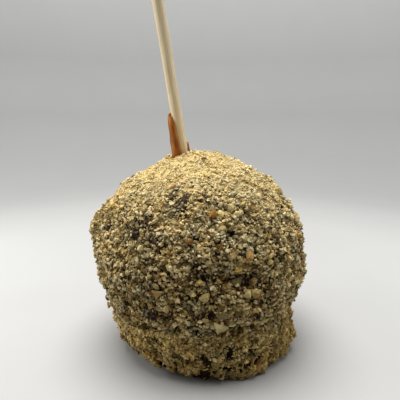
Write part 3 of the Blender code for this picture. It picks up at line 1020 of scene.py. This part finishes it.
# nuts large enough to pick out. Azimuth, height, length, width and thickness in mm, the turn of
# the length from level, flat faces (0 is a smooth kernel, 3 a triangular flake), and tone
placedNuts = (
    (-83.0, 59.5, 3.3, 3.0, 2.2, 70, 5, 0.84),
    (-72.6, 60.8, 3.0, 2.3, 1.9, 80, 0, 0.05),
    (-78.8, 59.3, 2.6, 1.9, 1.6, 115, 0, 0.0),
    (-69.0, 59.0, 2.4, 1.6, 1.4, 120, 4, 0.1),
    (-66.7, 47.1, 4.3, 3.0, 2.4, 75, 6, 0.78),
    (-71.9, 42.7, 2.9, 2.6, 2.2, 20, 5, 0.33),
    (-64.0, 38.0, 3.2, 2.8, 2.2, 50, 5, 0.72),
    (-72.0, 38.5, 4.0, 3.6, 2.6, 10, 5, 0.5),
    (-67.6, 34.5, 2.9, 2.6, 2.4, 60, 4, 0.12),
    (-63.2, 34.5, 3.1, 2.8, 2.3, 30, 5, 0.22),
    (-88.0, 35.0, 3.6, 2.8, 2.2, 20, 6, 0.2),
    (-79.6, 28.9, 3.6, 2.6, 1.8, 12, 6, 0.56),
    (-81.0, 24.5, 7.4, 7.0, 1.5, -28, 3, 0.04),
    (-108.9, 35.8, 4.2, 5.2, 2.4, 0, 3, 0.75),
    (-105.8, 30.5, 3.2, 2.6, 1.9, 70, 4, 0.14),
    (-94.6, 52.2, 2.0, 1.8, 1.4, 40, 4, 0.86),
    (-98.7, 52.1, 2.6, 1.7, 1.3, 10, 4, 0.78),
    (-174.8, 66.3, 2.4, 1.6, 0.5, 20, 0, 1.0),
    (-82.7, 74.2, 2.0, 1.2, 0.5, 10, 0, 0.95),
    (-104.0, 44.5, 3.0, 2.2, 1.7, 100, 5, 0.06),
    (-119.0, 49.0, 2.4, 1.9, 1.5, 45, 4, 0.0),
    (-90.0, 40.0, 2.6, 2.0, 1.6, 140, 5, 0.3),
    (-56.0, 44.0, 2.8, 2.0, 1.6, 60, 5, 0.2),
    (-50.0, 33.0, 2.6, 2.2, 1.6, 100, 5, 0.76),
)
# a flake's three edges: which way each faces and how far out it lies
flakeEdges = ((1.57, 0.25), (5.53, 0.45), (3.89, 0.45))
# how knobbly a larger piece is, and how closely the knobs lie
knobs = {"large": 0.22, "largeScale": 1.3, "small": 0.05, "smallScale": 5}
# the pieces on the sides and the back
strayNuts = {
    "count": 70,
    "seed": 11,
    "azimuths": (-25, 210),
    "heights": (16, 62),
    "sizes": (1.8, 3.4),
}


def allPlacedNuts():
    # the sides and the back, which are chosen by chance
    chance = np.random.default_rng(strayNuts["seed"])
    rows = list(placedNuts)
    for i in range(strayNuts["count"]):
        size = chance.uniform(*strayNuts["sizes"])
        rows.append((chance.uniform(*strayNuts["azimuths"]), chance.uniform(*strayNuts["heights"]),
                     size, size * chance.uniform(0.65, 0.95), size * chance.uniform(0.45, 0.75),
                     chance.uniform(0, 180), int(chance.integers(0, 7)), chance.uniform(0, 0.9)))
    return rows


def pieceCuts(chance, flats):
    # the flat faces: which way each faces and how far out it lies
    if flats == 3:
        edges = [(Vector((math.cos(a), math.sin(a), 0)), depth) for a, depth in flakeEdges]
        return edges + [(Vector((0, 0.1, 1)), 0.5)]
    return [(Vector(chance.normal(size=3)).normalized(), chance.uniform(0.5, 0.8))
            for _ in range(flats)]


def makePlacedNuts(skin):
    chance = np.random.default_rng(strayNuts["seed"] + 1)
    builder = bmesh.new()
    tone = builder.verts.layers.float.new("pieceTone")
    for azimuth, height, length, width, thick, turn, flats, shade in allPlacedNuts():
        spot, normal = onSkin(skin, azimuth, height * mm)
        lean = Vector((0, 0, max(0, height - 45) / 20))
        outward = (normal + 1.5 * turned(azimuth) + lean).normalized()
        level = Vector((0, 0, 1)).cross(outward).normalized()
        along = Matrix.Rotation(math.radians(turn), 3, outward) @ level
        across = outward.cross(along)
        size = np.array((length, width, thick)) * mm / 2
        grain = bmesh.ops.create_icosphere(builder, subdivisions=3, radius=1)["verts"]
        cuts = pieceCuts(chance, flats)
        shift = Vector(chance.uniform(0, 50, 3))
        proud = max(thick * 0.2 + 0.35, 1.0 + 0.6 * (flats == 3))
        for vertex in grain:
            point = vertex.co.copy()
            point *= 1 + knobs["large"] * noise.noise(point * knobs["largeScale"] + shift)
            for facing, depth in cuts:
                point -= facing * max(point.dot(facing) - depth, 0)
            point *= 1 + knobs["small"] * noise.noise(point * knobs["smallScale"] + shift)
            point = (along * point.x * size[0] + across * point.y * size[1]
                     + outward * point.z * size[2])
            vertex.co = spot + outward * proud * mm + point
            vertex[tone] = shade
    return addObject("nutPieces", meshFrom(builder, "nutPieces", 35))


def makePlacedNutMaterial():
    tree = ShaderTree("nutPieces")
    mottling = tree.mapRange(tree.noise(700, 3), 0.3, 0.7, 0.55, 1.15)
    colour = tree.ramp(tree.attribute("pieceTone"), pieceShades)
    colour = tree.mix(1.0, colour, mottling, "MULTIPLY")
    tree.set("Base Color", tree.nutLook(colour, nutLook["speckle"])[0])
    tree.set("Roughness", 0.6)
    tree.set("Specular IOR Level", 0.2)
    tree.bump(tree.noise(1100, 3), 0.7, 0.2 * mm)
    return tree.material


# the wooden stick
stick = {
    "sides": 40,
    "rings": 90,
    "radius": 2.08 * mm,
    "groove": 0.05 * mm,
    "grooveLength": 18 * mm,
    "waver": 0.06 * mm,
    "waverLength": 22 * mm,
    "easing": 0.35 * mm,        # the ends' rounded edges
    "pale": (0.92, 0.79, 0.54),
    "grain": (0.68, 0.53, 0.31),
    "band": (0.74, 0.58, 0.33),
}


def stickFrame():
    side = Vector((1, 0, 0))
    side = (side - stickAxis * side.dot(stickAxis)).normalized()
    back = stickAxis.cross(side)
    place = Matrix((side, back, stickAxis)).transposed().to_4x4()
    place.translation = stickMiddle
    return place


def makeStickMaterial():
    tree = ShaderTree("paleWood")
    along = tree.attribute("alongStick", "Vector")
    fibres = tree.noise(2600, 4, tree.stretched(along, (1, 1, 0.035)), 0.6)
    bands = tree.noise(700, 2, tree.stretched(along, (1, 1, 0.12)))
    colour = tree.ramp(fibres, ((0.3, stick["grain"]), (0.62, stick["pale"])))
    banded = tree.mapRange(bands, 0.35, 0.7, 0.0, 0.35)
    tree.set("Base Color", tree.mix(banded, colour, (*stick["band"], 1)))
    tree.set("Roughness", tree.mapRange(fibres, 0.3, 0.7, 0.72, 0.5))
    tree.bump(fibres, 0.35, 0.1 * mm)
    return tree.material


def makeStick():
    builder = bmesh.new()
    local = builder.verts.layers.float_vector.new("alongStick")
    place = stickFrame()

    def addPoint(point):
        vertex = builder.verts.new(place @ point)
        vertex[local] = point
        return vertex

    rings = []
    for row in range(stick["rings"] + 1):
        height = stickLow + (stickHigh - stickLow) * (row / stick["rings"])
        fromEnd = min(height - stickLow, stickHigh - height)
        easing = max(1 - fromEnd / stick["easing"], 0)
        inward = stick["easing"] * (1 - math.sqrt(max(1 - easing ** 2, 0)))
        ring = []
        for i in range(stick["sides"]):
            turn = 2 * math.pi * i / stick["sides"]
            spot = Vector((math.cos(turn), math.sin(turn), 0))
            groove = noise.noise(Vector((spot.x * 5, spot.y * 5, height / stick["grooveLength"])))
            waver = noise.noise(Vector((3, 7, height / stick["waverLength"]))) - 0.5
            radius = stick["radius"] - inward - stick["groove"] * abs(groove)
            radius += stick["waver"] * 0.5 * waver
            ring.append(addPoint(spot * radius + Vector((0, 0, height))))
        rings.append(ring)
    joinRings(builder, rings)
    # each end: a ring half way in, then one flat face
    for ring, height, up in ((rings[0], stickLow, False), (rings[-1], stickHigh, True)):
        inner = []
        for vertex in ring:
            point = Vector(vertex[local]) * 0.5
            inner.append(addPoint(Vector((point.x, point.y, height))))
        joinRings(builder, (ring, inner) if up else (inner, ring))
        builder.faces.new(inner if up else inner[::-1])
    return addObject("woodStick", meshFrom(builder, "woodStick", 40))


# the film of set caramel at the stick's base
film = {
    "bore": 2.75 * mm,          # the wall inside this is drawn in onto the stick
    "overlap": 0.15 * mm,
    "ripple": 0.22 * mm,
    "rippleSize": 2.2 * mm,
    "deep": (0.19, 0.052, 0.003),
    "amber": (0.46, 0.150, 0.008),
}


def makeFilmMaterial():
    tree = ShaderTree("amberCaramel")
    clouds = tree.noise(420, 3, tree.stretched(tree.position(), (1, 1, 0.25)))
    tree.set("Base Color", tree.ramp(clouds, ((0.36, film["deep"]), (0.62, film["amber"]))))
    tree.set("Roughness", tree.mapRange(clouds, 0.3, 0.7, 0.24, 0.4))
    tree.set("Specular IOR Level", 0.2)
    tree.bump(tree.noise(700, 2), 0.3, 0.2 * mm)
    return tree.material


def makeFilm():
    piece = addObject("caramelFilm", mergedCopy("caramel_film"))
    smooth = piece.modifiers.new("round", "SUBSURF")
    smooth.levels = smooth.render_levels = 2
    bakeModifiers(piece)
    mesh = piece.data
    points = pointsOf(mesh)
    axis = np.array(stickAxis)
    along = (points - np.array(stickMiddle)) @ axis
    outward = points - np.array(stickMiddle) - along[:, None] * axis
    away = np.linalg.norm(outward, axis=1)
    outward /= away[:, None]
    ripple = film["ripple"] * fieldNoise(points * np.array((1, 1, 0.5)), film["rippleSize"], 5)
    away = np.where(away < film["bore"], stick["radius"] - film["overlap"], away + ripple)
    putPoints(mesh, np.array(stickMiddle) + along[:, None] * axis + outward * away[:, None])
    mesh.shade_smooth()
    return piece


# floor, backdrop, light and camera
stage = {
    "flatReach": 0.30,
    "sweepSteps": 12,
    "sweepRadius": 0.16,
    "wallHeight": 0.95,
    "sides": 96,
}
# painted shade: the light's fall-off, painted into the paper's tone by distance from the apple along
# the floor and up the wall
paperPaintedShade = ((0.0, 0.39), (0.12, 0.405), (0.15, 0.41), (0.18, 0.415), (0.212, 0.405),
              (0.255, 0.39), (0.30, 0.36), (0.34, 0.327), (0.39, 0.305), (0.45, 0.307),
              (0.465, 0.342), (0.485, 0.40), (0.52, 0.41))
camera = {"distance": 154 * mm, "height": 91.5 * mm, "pitch": 12.6, "lens": 36, "sensor": 36}


def makePaper():
    tree = ShaderTree("palePaper")
    far = tree.node("ShaderNodeVectorMath", {0: tree.position()}, operation="LENGTH")
    # painted shade: the tone by distance stands in for the light's fall-off over the paper
    tone = tree.ramp(far.outputs["Value"], [(at, (v, v * 1.005, v)) for at, v in paperPaintedShade])
    mottled = tree.mapRange(tree.noise(30, 2), 0.3, 0.7, 0.99, 1.01)
    tree.set("Base Color", tree.mix(1.0, tone, mottled, "MULTIPLY"))
    tree.set("Roughness", 0.9)
    return tree.material


def makeStage():
    # a round sheet of paper whose rim curves up all round
    profile = [(stage["flatReach"] * share, 0) for share in (0.25, 0.5, 0.75, 1)]
    for step in range(1, stage["sweepSteps"] + 1):
        turn = math.radians(90 * step / stage["sweepSteps"])
        profile.append((stage["flatReach"] + stage["sweepRadius"] * math.sin(turn),
                        stage["sweepRadius"] * (1 - math.cos(turn))))
    profile.append((profile[-1][0], stage["wallHeight"]))
    turns = [2 * math.pi * i / stage["sides"] for i in range(stage["sides"])]
    for name, part, seen in (("studioFloor", profile[:4], True), ("studioWall", profile[3:], False)):
        builder = bmesh.new()
        rings = [[builder.verts.new((radius * math.cos(turn), radius * math.sin(turn), height))
                  for turn in turns] for radius, height in part]
        joinRings(builder, rings[::-1])
        if name == "studioFloor":
            builder.faces.new(rings[0])
        mesh = meshFrom(builder, name)
        mesh.materials.append(makePaper())
        sheet = addObject(name, mesh)
        sheet.visible_diffuse = seen
        sheet.visible_shadow = seen


# each lamp's place, what it faces, its width in metres and its power in watts
lamps = {
    "overhead": ((-0.05, 0.05, 0.75), (-0.03, 0.02, 0), 0.65, 10.7),
    "leftSide": ((-0.28, 0.0, 0.15), (0, 0, 0.03), 0.2, 0.5),
    "rightSide": ((0.28, 0.0, 0.13), (0, 0, 0.02), 0.2, 0.27),
}
lampColour = (1.0, 0.99, 0.97)
room = {"colour": (0.95, 0.97, 1.0, 1), "strength": 0.04}


def makeLights():
    for name, (place, target, size, power) in lamps.items():
        lamp = bpy.data.lights.new(name, "AREA")
        lamp.shape = "DISK"
        lamp.size = size
        lamp.energy = power
        lamp.color = lampColour
        made = addObject(name, lamp)
        made.location = place
        made.rotation_euler = (Vector(target) - Vector(place)).to_track_quat("-Z", "Y").to_euler()
        made.visible_camera = False
    world = bpy.data.worlds.new("softRoom")
    world.use_nodes = True
    background = world.node_tree.nodes["Background"]
    background.inputs["Color"].default_value = room["colour"]
    background.inputs["Strength"].default_value = room["strength"]
    bpy.context.scene.world = world
    bpy.context.scene.view_settings.view_transform = "Standard"


def makeCamera():
    lens = bpy.data.cameras.new("camera")
    lens.lens = camera["lens"]
    lens.sensor_width = camera["sensor"]
    lens.clip_start = 0.01
    made = addObject("camera", lens)
    made.location = (0, -camera["distance"], camera["height"])
    made.rotation_euler = (math.radians(90 - camera["pitch"]), 0, 0)
    bpy.context.scene.camera = made


makeCamera()
makeStage()
makeLights()
print("stage set")

coatPiece = makeCoat()
coatSkin = skinOf(coatPiece)
dripPiece = makeDrips(coatSkin)
print("coat and drips made")
nutTree = makeNutTree()
for kind in nutKinds:
    makeNuts(kind, coatPiece, nutTree)
for kind in dripNutKinds:
    makeNuts(kind, dripPiece, nutTree)
finishPiece(makePlacedNuts(coatSkin), makePlacedNutMaterial())
print("nuts scattered")
caramel = makeCoatMaterial()
finishPiece(dripPiece, caramel)
finishPiece(coatPiece, caramel)
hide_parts("coated_apple")

stickPiece = makeStick()
finishPiece(stickPiece, makeStickMaterial())
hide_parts("stick")
filmPiece = makeFilm()
finishPiece(filmPiece, makeFilmMaterial())
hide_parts("caramel_film")
print("stick and film made")
